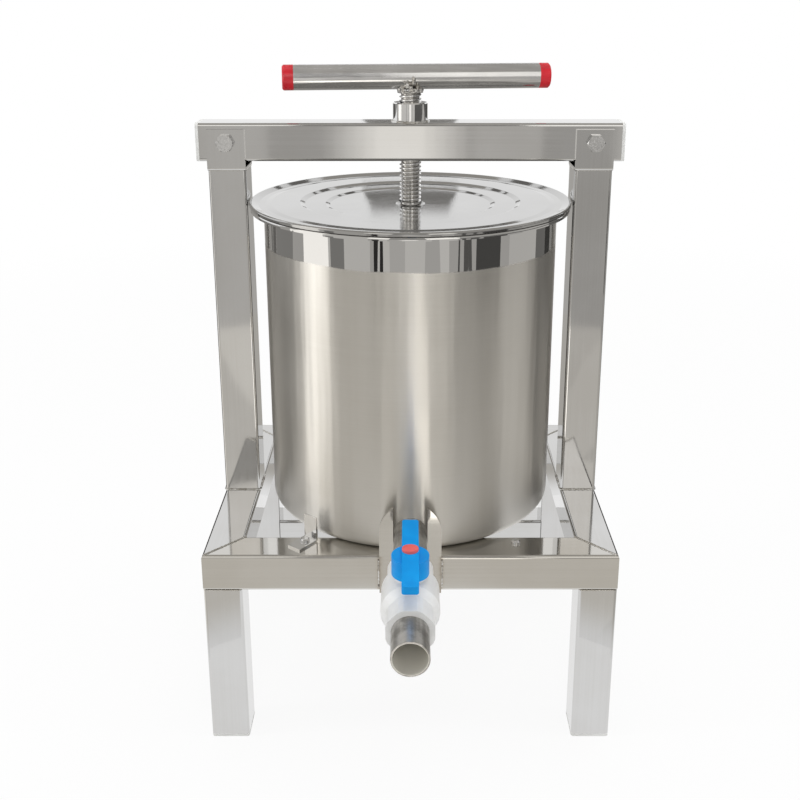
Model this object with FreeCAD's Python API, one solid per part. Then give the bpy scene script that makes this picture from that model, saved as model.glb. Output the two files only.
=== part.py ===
import FreeCAD, Part
import math
import os

# Honey press: a square-tube stand with two posts and a crossbeam, a stainless barrel with
# a lid, a basket and a screw press inside it, and an outlet with a plastic ball valve.
# All lengths are in millimetres. X is to the right, Y to the back and Z up.
# The pieces are drawn round the barrel's axis, and then moved so that the origin is
# the middle of the footprint, on the floor.

V = FreeCAD.Vector
X_AXIS = V(1, 0, 0)
Y_AXIS = V(0, 1, 0)
Z_AXIS = V(0, 0, 1)

# stand
tube_side = 38.0
tube_wall = 1.5
tube_corner = 3.0
post_clearance = 1.0
frame_past_barrel = 10.0
leg_height = 170.0
stretcher_drop = 78.0
plug_head = 3.0
plug_stem = 12.0
plug_wall = 1.6
plug_clearance = 0.1
plug_core_corner = 0.5

# posts, forks and crossbeam
beam_past_posts = 8.0
beam_above_lid = 39.5
fork_gap_below_beam = 6.0
fork_plate = 3.0
fork_side_clearance = 0.3
fork_lip_below_beam_top = 6.0
fork_bolt_dia = 10.0
fork_bolt_head_flats = 16.0
fork_bolt_head_height = 6.4
fork_bolt_head_chamfer = 1.2
fork_nut_height = 8.0
fork_washer_dia = 20.0
fork_washer_thickness = 1.6
fork_bolt_tail = 3.0
bolt_hole_clearance = 0.25

# press screw, its nut and its handle
screw_dia = 22.0
screw_nut_dia = 35.0
screw_nut_above_beam = 19.0
screw_nut_chamfer = 1.0
running_clearance = 0.05
weld_gap = 0.1
handle_dia = 25.0
handle_wall = 1.5
handle_length = 268.0
handle_shift = 7.0
handle_above_nut = 12.5
handle_cap_head = 11.0
handle_cap_stem = 14.0
handle_cap_chamfer = 1.5
handle_angle = 6.5

# press plate and its swivel
cake_height = 40.0
press_plate_gap = 5.0
press_plate_thickness = 5.0
press_plate_chamfer = 1.5
hub_dia = 44.0
hub_height = 30.0
hub_cavity_dia = 27.0
hub_cavity_height = 10.0
journal_dia = 16.0
journal_tail = 1.5
retainer_dia = 24.0
retainer_height = 4.7
thrust_gap = 0.3
thrust_washer_dia = 32.0
thrust_washer_thickness = 2.0
rib_count = 4
rib_thickness = 6.0
rib_inner_height = 24.0
rib_outer_height = 6.0
rib_end_inset = 11.0

# barrel
barrel_dia = 300.0
barrel_wall = 1.5
barrel_corner = 8.0
barrel_height = 318.0
barrel_rim_width = 13.0
barrel_rim_drop = 4.5
barrel_rim_bend = 2.0
barrel_seam_inset = 10.0
barrel_foot_height = 12.0
barrel_rim_foot = 6.0

# lid
lid_overhang = 1.0
lid_sheet = 1.0
lid_edge_depth = 4.5
lid_valley_half_width = 5.0
lid_land_inset = 22.0
lid_step_run = 9.0
lid_outer_step = 5.5
lid_centre_dia = 172.0
lid_inner_step = 7.0
lid_neck_height = 3.0
lid_hole_clearance = 0.8
lid_edge_bend = 2.0
lid_step_bend = 4.0
lid_neck_bend = 1.5

# basket
basket_gap = 12.0
basket_sheet = 1.5
basket_corner = 6.0
basket_flange_bend = 3.0
basket_top_below_rim = 13.0
basket_flange_clearance = 1.5
basket_foot_dia = 14.0
basket_foot_height = 14.0
basket_foot_inset = 18.0
basket_foot_count = 4
slot_width = 5.0
slot_tiers = 3
slot_tier_gap = 8.0
slot_columns = 24
slot_bottom_margin = 14.0
slot_top_margin = 30.0
floor_slot_count = 16
floor_slot_start = 34.0
floor_slot_margin = 28.0

# outlet pipe and its cradle on the front rail
pipe_dia = 32.0
pipe_wall = 1.5
outlet_height = 20.0
outlet_hole_clearance = 0.05
cradle_width = 60.0
cradle_thickness = 4.0
cradle_arch_rise = 8.0
cradle_slot_clearance = 0.5

# ball valve, along the pipe
valve_back_from_barrel = 72.0
valve_length = 92.5
valve_body_dia = 51.0
valve_collar_dia = 42.5
valve_collar_flats = 41.0
valve_collar_length = 22.0
valve_taper = 8.0
valve_joint_from_front = 22.5
valve_bore_dia = 26.0
valve_ball_dia = 37.0
valve_cavity_dia = 39.0
valve_seat_depth = 19.0
valve_seat_lip = 9.0
valve_seat_gap = 0.3
socket_web = 1.5
pipe_end_gap = 0.5
socket_clearance = 0.05
stem_dia = 10.0
stem_top = 44.0
stem_tongue_width = 4.0
stem_tongue_length = 16.0
stem_tongue_depth = 3.0
bonnet_dia = 26.0
bonnet_height = 38.0
spout_length = 35.0

# valve handle
hub_skirt_dia = 32.5
hub_skirt_wall = 2.6
hub_skirt_bottom = 28.0
hub_skirt_top = 45.0
hub_skirt_cavity_top = 40.0
wing_width = 14.5
wing_thickness = 7.0
wing_front_reach = 45.0
wing_front_top = 42.0
wing_back_reach = 43.0
wing_back_top = 55.0
wing_middle_top = 50.0
wing_tip_round = 2.5
handle_cap_width = 14.4
handle_cap_length = 12.0
handle_cap_top = 52.5
handle_cap_seat = 1.5
handle_cap_round = 1.5

# barrel stops on the front rail
stop_angle = 38.0
stop_gap = 10.0
stop_width = 16.0
stop_height = 26.0
stop_sheet = 2.0
stop_foot = 26.0
stop_bend = 2.5
stop_screw_dia = 5.0
stop_screw_head_dia = 9.0
stop_screw_head_height = 3.2
stop_screw_head_chamfer = 1.4
stop_screw_grip = 12.0
stop_screw_from_leaf = 10.0

# sizes, levels and places that follow from the ones above
barrel_rim_dia = barrel_dia + 2 * barrel_rim_width
lid_dia = barrel_rim_dia + 2 * lid_overhang
basket_dia = barrel_dia - 2 * basket_gap
press_plate_dia = basket_dia - 2 * press_plate_gap
frame_width = lid_dia + 2 * (post_clearance + tube_side)
frame_depth = barrel_dia + 2 * frame_past_barrel
beam_length = frame_width + 2 * beam_past_posts
stop_radius = barrel_dia / 2 + stop_gap
stop_screw_radius = stop_radius + stop_screw_from_leaf
deck = leg_height + tube_side
half_width = frame_width / 2
half_depth = frame_depth / 2
post_x = half_width - tube_side / 2
rim_top = deck + barrel_height
lid_top = rim_top + lid_edge_depth
beam_bottom = lid_top + beam_above_lid
beam_middle = beam_bottom + tube_side / 2
beam_top = beam_bottom + tube_side
post_top = beam_bottom - fork_gap_below_beam - fork_plate
fork_inner_half = tube_side / 2 + fork_side_clearance
fork_outer_half = fork_inner_half + fork_plate
nut_top = beam_top + screw_nut_above_beam
handle_z = nut_top + handle_above_nut + handle_dia / 2
basket_floor = deck + barrel_wall + basket_foot_height + basket_sheet
basket_top = rim_top - basket_top_below_rim
press_bottom = basket_floor + cake_height
press_top = press_bottom + press_plate_thickness
hub_top = press_top + hub_height
shoulder_z = hub_top + thrust_washer_thickness + thrust_gap
outlet_z = deck + outlet_height
barrel_inner = barrel_dia / 2 - barrel_wall
barrel_seam = barrel_dia / 2 - barrel_seam_inset
foot_top = deck + barrel_foot_height
below_rim = rim_top - barrel_wall
rim_start = below_rim - barrel_rim_foot
valve_back = -(barrel_dia / 2 + valve_back_from_barrel)
valve_front = valve_back - valve_length
ball_y = (valve_back + valve_front) / 2
spout_end = valve_front - spout_length
rear_reach = max(half_depth, lid_dia / 2, barrel_rim_dia / 2)
axis_y = -(rear_reach + spout_end) / 2


def cylinder(radius, height, base=V(0, 0, 0), direction=Z_AXIS):
    return Part.makeCylinder(radius, height, base, direction)


def ring(outer, inner, height, base=V(0, 0, 0), direction=Z_AXIS):
    return cylinder(outer, height, base, direction).cut(cylinder(inner, height, base, direction))


def turned(shape, degrees, centre=V(0, 0, 0), axis=Z_AXIS):
    copy = shape.copy()
    copy.rotate(centre, axis, degrees)
    return copy


def mirrored_x(shape):
    return shape.mirror(V(0, 0, 0), X_AXIS)


def rounded_edges(points, radii):
    # an open path through the points, each inner corner an arc of its own radius
    edges = []
    start = points[0]
    for before, corner, after, radius in zip(points, points[1:], points[2:], radii):
        into = (before - corner).normalize()
        out = (after - corner).normalize()
        half_angle = into.getAngle(out) / 2
        if radius <= 0 or abs(half_angle - math.pi / 2) < 1e-6:
            edges.append(Part.LineSegment(start, corner).toShape())
            start = corner
            continue
        reach = radius / math.tan(half_angle)
        middle_distance = radius / math.sin(half_angle) - radius
        first = corner + into * reach
        last = corner + out * reach
        middle = corner + (into + out).normalize() * middle_distance
        if (first - start).Length > 1e-6:
            edges.append(Part.LineSegment(start, first).toShape())
        edges.append(Part.Arc(first, middle, last).toShape())
        start = last
    edges.append(Part.LineSegment(start, points[-1]).toShape())
    return edges


def rounded_square(side, corner):
    half = side / 2
    corners = [V(half, -half, 0), V(half, half, 0), V(-half, half, 0), V(-half, -half, 0)]
    middle = V(0, -half, 0)
    path = [middle] + corners + [middle]
    return Part.Wire(rounded_edges(path, [corner] * 4))


def square_tube(length):
    # a hollow square tube, standing on the origin along Z
    outer = Part.Face(rounded_square(tube_side, tube_corner))
    inner = Part.Face(rounded_square(tube_side - 2 * tube_wall, tube_corner - tube_wall))
    return outer.extrude(Z_AXIS * length).cut(inner.extrude(Z_AXIS * length))


def lying_tube(length):
    # the same tube along X, its middle at the origin
    tube = square_tube(length)
    tube.translate(Z_AXIS * (-length / 2))
    return turned(tube, 90, axis=Y_AXIS)


def prism(points, depth):
    # a flat outline, swept along depth
    return Part.Face(Part.makePolygon(points + [points[0]])).extrude(depth)


def sheet_section(points, radii, thickness):
    # a bent sheet's outline from (x, z) points: their path, and one beside it on its left
    path = [V(x, 0, z) for x, z in points]
    steps = [(end - start).normalize() for start, end in zip(path, path[1:])]
    lefts = [V(-step.z, 0, step.x) for step in steps]
    beside = [path[0] + lefts[0] * thickness]
    beside_radii = []
    for corner, before, after, radius in zip(path[1:], lefts, lefts[1:], radii):
        beside.append(corner + (before + after) * (thickness / (1 + before.dot(after))))
        turns_left = before.x * after.z > before.z * after.x
        beside_radii.append(radius - thickness if turns_left else radius + thickness)
    beside.append(path[-1] + lefts[-1] * thickness)
    edges = rounded_edges(path, radii)
    edges.append(Part.LineSegment(path[-1], beside[-1]).toShape())
    edges += rounded_edges(beside[::-1], beside_radii[::-1])
    edges.append(Part.LineSegment(beside[0], path[0]).toShape())
    return Part.Face(Part.Wire(edges))


def revolved_sheet(points, radii, thickness):
    return sheet_section(points, radii, thickness).revolve(V(0, 0, 0), Z_AXIS, 360)


def hexagon(across_flats, height):
    radius = across_flats / math.sqrt(3)
    corners = [V(radius * math.cos(a), radius * math.sin(a), 0)
               for a in (math.radians(60 * i) for i in range(6))]
    return prism(corners, Z_AXIS * height)


def mitred_rail(length):
    # a rail along X with both ends cut at 45 degrees, its outer side towards -Y
    half = length / 2
    inner = half - tube_side
    near = -tube_side / 2
    far = tube_side / 2
    below = -tube_side / 2
    outline = [V(-half, near, below), V(half, near, below), V(inner, far, below), V(-inner, far, below)]
    return lying_tube(length).common(prism(outline, Z_AXIS * tube_side))


def base_rails():
    height = leg_height + tube_side / 2
    front = mitred_rail(frame_width)
    front.translate(V(0, -half_depth + tube_side / 2, height))
    for side in (-1, 1):
        front = front.cut(stop_screw_hole(side))
    rear = turned(mitred_rail(frame_width), 180)
    rear.translate(V(0, half_depth - tube_side / 2, height))
    left = turned(mitred_rail(frame_depth), -90)
    left.translate(V(-post_x, 0, height))
    return {"front_rail": front, "rear_rail": rear,
            "left_side_rail": left, "right_side_rail": mirrored_x(left)}


def leg_places():
    leg_y = half_depth - tube_side / 2
    return {"front_left": (-post_x, -leg_y), "front_right": (post_x, -leg_y),
            "rear_left": (-post_x, leg_y), "rear_right": (post_x, leg_y)}


def legs():
    pieces = {}
    for name, (x, y) in leg_places().items():
        leg = square_tube(leg_height - plug_head)
        leg.translate(V(x, y, plug_head))
        pieces[name + "_leg"] = leg
    return pieces


def tube_plug():
    # a moulded plug: its head closes the tube's end and a hollow stem fits inside
    head = Part.Face(rounded_square(tube_side, tube_corner)).extrude(Z_AXIS * plug_head)
    stem_side = tube_side - 2 * tube_wall - 2 * plug_clearance
    stem = Part.Face(rounded_square(stem_side, tube_corner - tube_wall))
    core = Part.Face(rounded_square(stem_side - 2 * plug_wall, plug_core_corner))
    stem = stem.extrude(Z_AXIS * plug_stem).cut(core.extrude(Z_AXIS * plug_stem))
    stem.translate(Z_AXIS * plug_head)
    return head.fuse(stem).removeSplitter()


def leg_end_caps():
    caps = []
    for x, y in leg_places().values():
        cap = tube_plug()
        cap.translate(V(x, y, 0))
        caps.append(cap)
    return Part.makeCompound(caps)


def rear_stretcher():
    stretcher = lying_tube(frame_width - 2 * tube_side)
    middle = leg_height - stretcher_drop - tube_side / 2
    stretcher.translate(V(0, half_depth - tube_side / 2, middle))
    return stretcher


def left_post():
    post = square_tube(post_top - deck)
    post.translate(V(-post_x, 0, deck))
    return post


def bolt_hole(radius):
    reach = 2 * fork_outer_half
    return cylinder(radius, 2 * reach, V(-post_x, -reach, beam_middle), Y_AXIS)


def left_fork():
    # a folded saddle on the post: a base plate and a cheek on each side of the beam
    height = beam_top - fork_lip_below_beam_top - post_top
    block = Part.makeBox(tube_side, 2 * fork_outer_half, height, V(-tube_side / 2, -fork_outer_half, 0))
    room = Part.makeBox(tube_side, 2 * fork_inner_half, height,
                        V(-tube_side / 2, -fork_inner_half, fork_plate))
    folds = [e for e in block.Edges
             if e.BoundBox.ZMax < 1e-6 and e.BoundBox.XLength > tube_side - 1e-6]
    fork = block.makeFillet(fork_plate, folds).cut(room)
    fork.translate(V(-post_x, 0, post_top))
    return fork.cut(bolt_hole(fork_bolt_dia / 2 + bolt_hole_clearance))


def crossbeam():
    beam = lying_tube(beam_length)
    beam.translate(V(0, 0, beam_middle))
    hole = bolt_hole(fork_bolt_dia / 2 + bolt_hole_clearance)
    nut_hole = cylinder(screw_nut_dia / 2 + weld_gap, 2 * tube_side, V(0, 0, beam_bottom - tube_side / 2))
    return beam.cut(hole).cut(mirrored_x(hole)).cut(nut_hole)


def beam_end_plugs():
    plug = turned(tube_plug(), 90, axis=Y_AXIS)
    plug.translate(V(-beam_length / 2 - plug_head, 0, beam_middle))
    return Part.makeCompound([plug, mirrored_x(plug)])


def fork_bolts():
    corner = fork_bolt_head_flats / math.sqrt(3)
    height = fork_bolt_head_height
    bevel = Part.makeCone(corner - fork_bolt_head_chamfer, corner + height - fork_bolt_head_chamfer, height)
    head = hexagon(fork_bolt_head_flats, height).common(bevel)
    head.translate(Z_AXIS * -height)
    nut_face = fork_outer_half + fork_washer_thickness
    length = fork_outer_half + nut_face + fork_nut_height + fork_bolt_tail
    bolt = turned(head.fuse(cylinder(fork_bolt_dia / 2, length)), -90, axis=X_AXIS)
    bolt.translate(V(-post_x, -fork_outer_half, beam_middle))
    return Part.makeCompound([bolt, mirrored_x(bolt)])


def fork_washers():
    washer = ring(fork_washer_dia / 2, fork_bolt_dia / 2 + bolt_hole_clearance, fork_washer_thickness,
                  V(-post_x, fork_outer_half, beam_middle), Y_AXIS)
    return Part.makeCompound([washer, mirrored_x(washer)])


def fork_nuts():
    nut = hexagon(fork_bolt_head_flats, fork_nut_height)
    nut = nut.cut(cylinder(fork_bolt_dia / 2, fork_nut_height))
    nut = turned(nut, -90, axis=X_AXIS)
    nut.translate(V(-post_x, fork_outer_half + fork_washer_thickness, beam_middle))
    return Part.makeCompound([nut, mirrored_x(nut)])


def screw_nut():
    nut = cylinder(screw_nut_dia / 2, nut_top - beam_bottom, V(0, 0, beam_bottom))
    rim = [e for e in nut.Edges if abs(e.BoundBox.ZMin - nut_top) < 1e-6 and len(e.Vertexes) == 1]
    nut = nut.makeChamfer(screw_nut_chamfer, rim)
    return nut.cut(cylinder(screw_dia / 2 + running_clearance, 2 * tube_side, V(0, 0, beam_bottom)))


def outlet_cradle():
    # a plate on the front rail with an arched top and an open slot that holds the pipe
    arch_z = outlet_z + cradle_arch_rise
    half = cradle_width / 2
    back = -half_depth
    top = cylinder(half, cradle_thickness, V(0, back - cradle_thickness, arch_z), Y_AXIS)
    body = Part.makeBox(cradle_width, cradle_thickness, arch_z - leg_height,
                        V(-half, back - cradle_thickness, leg_height))
    slot_half = pipe_dia / 2 + cradle_slot_clearance
    seat = cylinder(slot_half, 3 * cradle_thickness, V(0, back - 2 * cradle_thickness, outlet_z), Y_AXIS)
    slot = Part.makeBox(2 * slot_half, 3 * cradle_thickness, cradle_width,
                        V(-slot_half, back - 2 * cradle_thickness, outlet_z))
    return body.fuse(top).removeSplitter().cut(seat).cut(slot)


def stop_place(side, radius):
    angle = math.radians(stop_angle)
    return V(side * radius * math.sin(angle), -radius * math.cos(angle), deck)


def stop_screw_hole(side):
    base = stop_place(side, stop_screw_radius) - Z_AXIS * stop_screw_grip
    return cylinder(stop_screw_dia / 2 + running_clearance, 2 * stop_screw_grip, base)


def barrel_stop():
    # a bent tab: a foot on the rail and a leaf that stands beside the barrel
    path = [(-stop_foot, 0), (0, 0), (0, stop_height)]
    tab = sheet_section(path, [stop_bend], stop_sheet).extrude(Y_AXIS * stop_width)
    tab.translate(V(-stop_radius, -stop_width / 2, deck))
    tab = turned(tab, 90 - stop_angle)
    return tab.cut(stop_screw_hole(-1))


def stop_screws():
    screws = []
    for side, seat in ((-1, stop_sheet), (1, 0)):
        place = stop_place(side, stop_screw_radius)
        shank = cylinder(stop_screw_dia / 2, stop_screw_grip + seat, place - Z_AXIS * stop_screw_grip)
        head = cylinder(stop_screw_head_dia / 2, stop_screw_head_height, place + Z_AXIS * seat)
        top = [e for e in head.Edges if e.BoundBox.ZMin > deck + seat + stop_screw_head_height / 2]
        head = head.makeChamfer(stop_screw_head_chamfer, top)
        screws.append(shank.fuse(head))
    return Part.makeCompound(screws)


def outlet_hole():
    return cylinder(pipe_dia / 2 + outlet_hole_clearance, barrel_dia, V(0, 0, outlet_z), -Y_AXIS)


def barrel_wall_panels():
    # four rolled panels between the foot and the rim, welded edge to edge
    outside = barrel_dia / 2
    height = rim_start - foot_top
    wall = ring(outside, barrel_inner, height, V(0, 0, foot_top)).cut(outlet_hole())
    panels = {}
    for name, x_start, y_start in (("front_left", -outside, -outside), ("front_right", 0, -outside),
                                   ("rear_left", -outside, 0), ("rear_right", 0, 0)):
        quarter = Part.makeBox(outside, outside, height, V(x_start, y_start, foot_top))
        panels[f"barrel_{name}"] = wall.common(quarter)
    return panels


def barrel_floor():
    return cylinder(barrel_seam, barrel_wall, V(0, 0, deck))


def barrel_foot():
    # the rounded corner between floor and wall
    outside = barrel_dia / 2
    path = [(barrel_seam, deck), (outside, deck), (outside, foot_top)]
    return revolved_sheet(path, [barrel_corner], barrel_wall).cut(outlet_hole())


def barrel_rim():
    # turned out and down
    outside = barrel_dia / 2
    fold = barrel_rim_dia / 2 - barrel_wall
    path = [(outside, rim_start), (outside, below_rim), (fold, below_rim),
            (fold, rim_top - barrel_rim_drop)]
    return revolved_sheet(path, [barrel_rim_bend, barrel_rim_bend], barrel_wall)


def pipe(start, end):
    return ring(pipe_dia / 2, pipe_dia / 2 - pipe_wall, start - end, V(0, start, outlet_z), -Y_AXIS)


def outlet_stub():
    inside = cylinder(barrel_inner, barrel_height, V(0, 0, deck))
    return pipe(0, valve_back - valve_collar_length + pipe_end_gap).cut(inside)


def lid():
    # pressed sheet: a turned edge, a valley that rests on the barrel's rim, and two steps down
    edge = lid_dia / 2
    top = lid_top
    valley = rim_top + lid_sheet
    land = barrel_dia / 2 - lid_land_inset
    centre = lid_centre_dia / 2
    outer_floor = top - lid_outer_step
    inner_floor = outer_floor - lid_inner_step
    neck = screw_dia / 2 + lid_hole_clearance + lid_sheet
    path = [
        (edge, top - lid_edge_depth),
        (edge, top),
        (barrel_dia / 2 + lid_valley_half_width, valley),
        (barrel_dia / 2 - lid_valley_half_width, valley),
        (land, top),
        (land - lid_step_run, outer_floor),
        (centre, outer_floor),
        (centre - lid_step_run, inner_floor),
        (neck, inner_floor),
        (neck, inner_floor + lid_neck_height),
    ]
    radii = [lid_edge_bend] + [lid_step_bend] * 6 + [lid_neck_bend]
    return revolved_sheet(path, radii, lid_sheet)


def basket_slots():
    outside = basket_dia / 2
    cutters = []
    first = basket_floor + slot_bottom_margin
    gaps = slot_tier_gap * (slot_tiers - 1)
    slot_height = (basket_top - slot_top_margin - first - gaps) / slot_tiers
    floor_slot_length = outside - floor_slot_start - floor_slot_margin
    for tier in range(slot_tiers):
        z = first + tier * (slot_height + slot_tier_gap)
        for column in range(slot_columns):
            angle = 360 / slot_columns * (column + 0.5 * (tier % 2))
            cutter = Part.makeBox(4 * basket_sheet, slot_width, slot_height,
                                  V(outside - 3 * basket_sheet, -slot_width / 2, z))
            cutters.append(turned(cutter, angle))
    for index in range(floor_slot_count):
        cutter = Part.makeBox(floor_slot_length, slot_width, 3 * basket_sheet,
                              V(floor_slot_start, -slot_width / 2, basket_floor - 2 * basket_sheet))
        cutters.append(turned(cutter, 360 / floor_slot_count * (index + 0.5)))
    return Part.makeCompound(cutters)


def basket():
    outside = basket_dia / 2
    bottom = basket_floor - basket_sheet
    flange = barrel_inner - basket_flange_clearance
    path = [(0, bottom), (outside, bottom), (outside, basket_top), (flange, basket_top)]
    shell = revolved_sheet(path, [basket_corner, basket_flange_bend], basket_sheet)
    return shell.cut(basket_slots())


def basket_feet():
    feet = []
    radius = basket_dia / 2 - basket_foot_inset
    for index in range(basket_foot_count):
        foot = cylinder(basket_foot_dia / 2, basket_foot_height, V(radius, 0, deck + barrel_wall))
        feet.append(turned(foot, 360 / basket_foot_count * (index + 0.5)))
    return Part.makeCompound(feet)


def press_plate():
    plate = cylinder(press_plate_dia / 2, press_plate_thickness, V(0, 0, press_bottom))
    rims = [e for e in plate.Edges if len(e.Vertexes) == 1]
    return plate.makeChamfer(press_plate_chamfer, rims)


def press_ribs():
    inner = hub_dia / 2
    outer = press_plate_dia / 2 - rib_end_inset
    half = rib_thickness / 2
    outline = [V(inner, -half, press_top), V(outer, -half, press_top),
               V(outer, -half, press_top + rib_outer_height), V(inner, -half, press_top + rib_inner_height)]
    rib = prism(outline, Y_AXIS * rib_thickness).cut(cylinder(inner, hub_height, V(0, 0, press_top)))
    return Part.makeCompound([turned(rib, 360 / rib_count * i) for i in range(rib_count)])


def press_hub():
    hub = cylinder(hub_dia / 2, hub_height, V(0, 0, press_top))
    hub = hub.cut(cylinder(hub_cavity_dia / 2, hub_cavity_height, V(0, 0, press_top)))
    return hub.cut(cylinder(journal_dia / 2 + running_clearance, hub_height, V(0, 0, press_top)))


def thrust_washer():
    hole = journal_dia / 2 + running_clearance
    return ring(thrust_washer_dia / 2, hole, thrust_washer_thickness, V(0, 0, hub_top))


def retainer_z():
    return press_top + hub_cavity_height - thrust_gap - retainer_height


def handle_axis():
    angle = math.radians(handle_angle)
    return V(math.cos(angle), math.sin(angle), 0)


def along_handle(start, end, radius):
    return cylinder(radius, end - start, V(0, 0, handle_z) + handle_axis() * start, handle_axis())


def press_screw():
    # the thread is left off: the bar has its outer diameter, and a journal at its lower end
    bar = cylinder(screw_dia / 2, handle_z - shoulder_z, V(0, 0, shoulder_z))
    journal_bottom = retainer_z() - journal_tail
    journal = cylinder(journal_dia / 2, shoulder_z - journal_bottom, V(0, 0, journal_bottom))
    seat = along_handle(-handle_dia, handle_dia, handle_dia / 2)
    return bar.fuse(journal).cut(seat)


def screw_retainer():
    return ring(retainer_dia / 2, journal_dia / 2, retainer_height, V(0, 0, retainer_z()))


def handle_tube():
    half = handle_length / 2 - handle_cap_head
    low = handle_shift - half
    high = handle_shift + half
    inside = along_handle(low, high, handle_dia / 2 - handle_wall)
    return along_handle(low, high, handle_dia / 2).cut(inside)


def right_handle_cap():
    end = handle_shift + handle_length / 2
    seat = end - handle_cap_head
    head = along_handle(seat, end, handle_dia / 2)
    tip = [e for e in head.Edges if len(e.Vertexes) == 1 and e.CenterOfMass.x > end - handle_cap_head / 2]
    head = head.makeChamfer(handle_cap_chamfer, tip)
    stem = along_handle(seat - handle_cap_stem, seat, handle_dia / 2 - handle_wall - plug_clearance)
    return head.fuse(stem)


def left_handle_cap():
    # the other cap, turned about the handle's middle, which lies a little beside the screw
    return turned(right_handle_cap(), 180, handle_axis() * handle_shift)


def valve_spindle(radius, start, end):
    # a cylinder along the valve, from start to end behind or in front of the ball
    return cylinder(radius, end - start, V(0, ball_y - start, outlet_z), -Y_AXIS)


def octagon_bar(start, end):
    radius = valve_collar_flats / 2 / math.cos(math.radians(22.5))
    corners = [V(radius * math.cos(a), 0, radius * math.sin(a))
               for a in (math.radians(22.5 + 45 * i) for i in range(8))]
    bar = prism(corners, -Y_AXIS * (end - start))
    bar.translate(V(0, ball_y - start, outlet_z))
    return bar.common(valve_spindle(valve_collar_dia / 2, start, end))


def up_valve(radius, low, high):
    # a cylinder on the stem's axis, between two heights above the pipe's axis
    return cylinder(radius, high - low, V(0, ball_y, outlet_z + low))


def valve_body():
    half = valve_length / 2
    joint = half - valve_joint_from_front
    straight = half - valve_collar_length - valve_taper
    taper = Part.makeCone(valve_collar_flats / 2, valve_body_dia / 2, valve_taper,
                          V(0, ball_y + straight + valve_taper, outlet_z), -Y_AXIS)
    front_taper = Part.makeCone(valve_body_dia / 2, valve_collar_flats / 2, joint - straight,
                                V(0, ball_y - straight, outlet_z), -Y_AXIS)
    outside = valve_spindle(valve_body_dia / 2, -straight, straight).fuse([
        octagon_bar(-half, -half + valve_collar_length), taper, front_taper,
        up_valve(bonnet_dia / 2, 0, bonnet_height)])
    inside = valve_spindle(pipe_dia / 2 + socket_clearance, -half, -half + valve_collar_length)
    inside = inside.fuse([
        valve_spindle(valve_bore_dia / 2, -half, 0),
        valve_spindle(valve_cavity_dia / 2, -valve_seat_depth, joint),
        up_valve(stem_dia / 2 + running_clearance, 0, bonnet_height)])
    return outside.removeSplitter().cut(inside)


def valve_end_collar():
    half = valve_length / 2
    joint = half - valve_joint_from_front
    plug = valve_spindle(valve_cavity_dia / 2 - running_clearance, valve_seat_depth, joint)
    collar = octagon_bar(joint, half).fuse(plug)
    socket = valve_spindle(pipe_dia / 2 + socket_clearance, joint + socket_web, half)
    return collar.cut(socket).cut(valve_spindle(valve_bore_dia / 2, 0, half))


def back_valve_seat():
    outer = valve_cavity_dia / 2 - running_clearance
    seat = valve_spindle(outer, -valve_seat_depth, -valve_seat_lip)
    seat = seat.cut(valve_spindle(valve_bore_dia / 2, -valve_seat_depth, 0))
    ball_room = Part.makeSphere(valve_ball_dia / 2 + valve_seat_gap, V(0, ball_y, outlet_z))
    return seat.cut(ball_room)


def front_valve_seat():
    return turned(back_valve_seat(), 180, V(0, ball_y, outlet_z))


def spout():
    back = valve_front + valve_joint_from_front - socket_web - pipe_end_gap
    return pipe(back, spout_end)


def stem_tongue():
    return Part.makeBox(stem_tongue_width, stem_tongue_length, stem_tongue_depth,
                        V(-stem_tongue_width / 2, ball_y - stem_tongue_length / 2,
                          outlet_z + valve_ball_dia / 2 - stem_tongue_depth))


def valve_ball():
    ball = Part.makeSphere(valve_ball_dia / 2, V(0, ball_y, outlet_z))
    ball = ball.cut(valve_spindle(valve_bore_dia / 2, -valve_ball_dia, valve_ball_dia))
    return ball.cut(stem_tongue().fuse(stem_tongue().translated(Z_AXIS * stem_tongue_depth)))


def valve_stem():
    rod = up_valve(stem_dia / 2, valve_ball_dia / 2, stem_top)
    tongue = stem_tongue().common(up_valve(stem_dia / 2, 0, valve_ball_dia))
    return rod.fuse(tongue)


def valve_wings():
    # one bar across the hub, its back wing raised and its front wing dipped
    back = V(0, ball_y + wing_back_reach, outlet_z + wing_back_top)
    middle = V(0, ball_y, outlet_z + wing_middle_top)
    front = V(0, ball_y - wing_front_reach, outlet_z + wing_front_top)
    drop = Z_AXIS * wing_thickness
    outline = [
        Part.Arc(back, middle, front).toShape(),
        Part.LineSegment(front, front - drop).toShape(),
        Part.Arc(front - drop, middle - drop, back - drop).toShape(),
        Part.LineSegment(back - drop, back).toShape(),
    ]
    bar = Part.Face(Part.Wire(outline)).extrude(X_AXIS * wing_width)
    bar.translate(X_AXIS * (-wing_width / 2))
    tips = [e for e in bar.Edges
            if abs(e.CenterOfMass.x) > wing_width / 2 - 1e-3 and e.BoundBox.YLength < 1e-3]
    return bar.makeFillet(wing_tip_round, tips)


def handle_cap_block(base):
    outline = Part.Ellipse(V(0, 0, 0), handle_cap_width / 2, handle_cap_length / 2).toShape()
    block = Part.Face(Part.Wire(outline)).extrude(Z_AXIS * (handle_cap_top - base))
    block.translate(V(0, ball_y, outlet_z + base))
    return block


def valve_handle():
    hub = up_valve(hub_skirt_dia / 2, hub_skirt_bottom, hub_skirt_top)
    room = up_valve(hub_skirt_dia / 2 - hub_skirt_wall, hub_skirt_bottom, hub_skirt_cavity_top)
    stem_room = up_valve(stem_dia / 2, 0, stem_top)
    cap_seat = handle_cap_block(wing_middle_top - handle_cap_seat)
    return hub.fuse(valve_wings()).cut(room).cut(stem_room).cut(cap_seat)


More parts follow.
